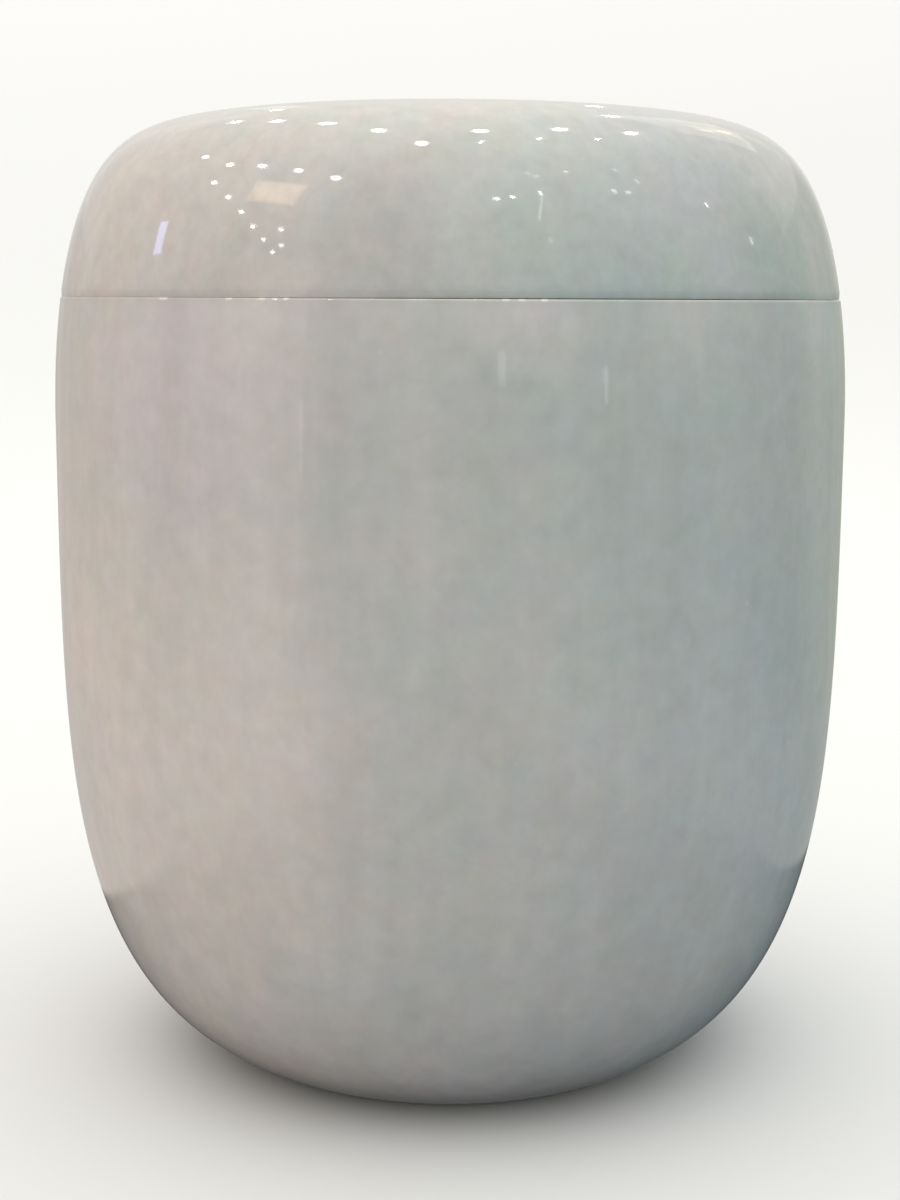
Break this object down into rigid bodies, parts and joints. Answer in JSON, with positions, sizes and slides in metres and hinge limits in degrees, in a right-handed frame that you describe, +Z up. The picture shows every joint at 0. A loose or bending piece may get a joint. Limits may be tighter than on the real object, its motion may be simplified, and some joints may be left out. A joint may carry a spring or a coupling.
{
  "type": "funeral urn",
  "caption": "Plain cinerary urn of pale polished stone with full rounded sides, a flat foot and a low domed lid that lifts off a flush level seam.",
  "frame": {"origin": "centre of the flat foot that the urn stands on", "axes": "+Z up along the axis that the urn is turned about; the picture looks along +Y"},
  "size_m": [0.21, 0.21, 0.25],
  "materials": {
    "body_stone": "polished pale grey-green jade or marble with faint clouds and upright veins",
    "lid_stone": "polished pale grey-green jade or marble with faint clouds"
  },
  "bodies": {
    "root": {"urn_body": "body_stone", "urn_lid": "lid_stone"}
  },
  "joints": []
}
